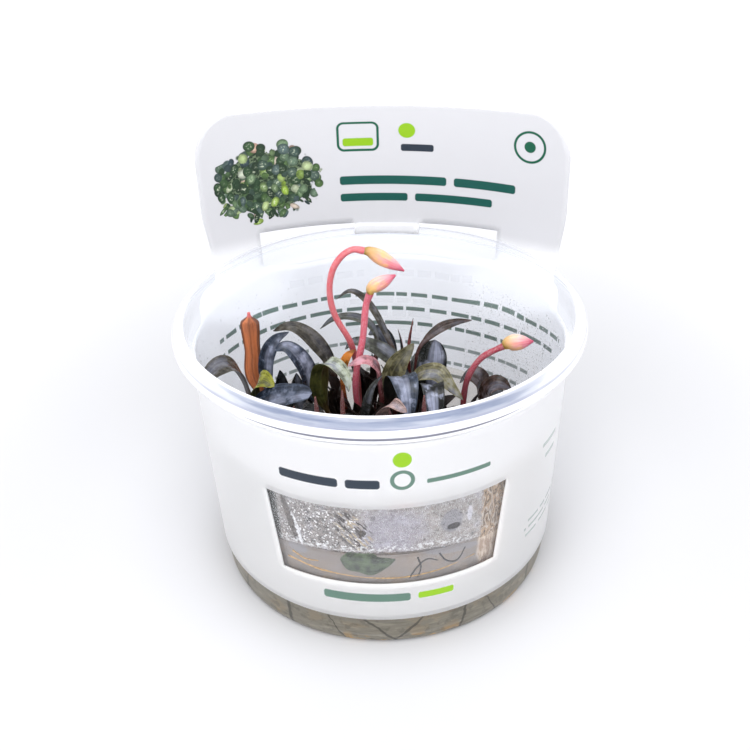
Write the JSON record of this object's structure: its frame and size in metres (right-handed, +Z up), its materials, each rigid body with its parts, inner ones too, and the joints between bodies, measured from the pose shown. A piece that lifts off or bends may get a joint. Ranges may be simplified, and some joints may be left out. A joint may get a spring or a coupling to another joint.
{
  "type": "potted aquarium plant in a culture cup",
  "caption": "Small rosette-leaved aquarium plant with arching leaves and pink flower stalks, growing on gel in a clear open cup with a printed card sleeve and upright header.",
  "frame": {"origin": "centre of the cup's flat base, on the surface it stands on", "axes": "+Z up along the cup's axis; the sleeve's window faces -Y and the header card stands at +Y"},
  "size_m": [0.0972, 0.097, 0.1025],
  "materials": {
    "clear_plastic": "clear moulded plastic, glossy, misted inside with fine droplets",
    "printed_card": null,
    "gel": "clear pinkish-beige nutrient gel with a wet top",
    "rhizome": "rough olive-brown creeping stem",
    "leaf": "satin dark green to blue-grey blade with fine lengthwise veins and a paler underside",
    "flower_stalk": "satin pink-red stalk, finely speckled",
    "spathe": "waxy closed spathe, yellow-olive at its base, peach in the middle, pink at the tip",
    "withered": "dry brown papery sheath, folded and wrinkled"
  },
  "bodies": {
    "root": {"card_sleeve": "printed_card", "cup": "clear_plastic", "flower_stalk_hooked": "flower_stalk", "flower_stalk_side": "flower_stalk", "flower_stalk_upright": "flower_stalk", "leaf_arch_shiny": "leaf", "leaf_arch_wide": "leaf", "leaf_back_curled": "leaf", "leaf_back_dark": "leaf", "leaf_back_low": "leaf", "leaf_back_tall": "leaf", "leaf_front_dark": "leaf", "leaf_front_folded": "leaf", "leaf_front_grey": "leaf", "leaf_front_left": "leaf", "leaf_front_narrow": "leaf", "leaf_front_pink": "leaf", "leaf_front_right": "leaf", "leaf_left_arching": "leaf", "leaf_left_back": "leaf", "leaf_left_folded": "leaf", "leaf_left_grey": "leaf", "leaf_left_level": "leaf", "leaf_left_low": "leaf", "leaf_left_upright": "leaf", "leaf_middle_grey": "leaf", "leaf_olive_blade": "leaf", "leaf_orange_scrap": "leaf", "leaf_pink_young": "leaf", "leaf_right_back": "leaf", "leaf_right_brown": "leaf", "leaf_right_low": "leaf", "leaf_right_pale": "leaf", "leaf_right_round": "leaf", "leaf_right_shiny": "leaf", "leaf_right_thin": "leaf", "leaf_spike_short": "leaf", "leaf_spike_tall": "leaf", "nutrient_gel": "gel", "rhizome_1": "rhizome", "rhizome_2": "rhizome", "rhizome_3": "rhizome", "rhizome_4": "rhizome", "rhizome_5": "rhizome", "rhizome_6": "rhizome", "spathe_hooked": "spathe", "spathe_side": "spathe", "spathe_upright": "spathe", "spathe_withered": "withered"}
  },
  "joints": []
}
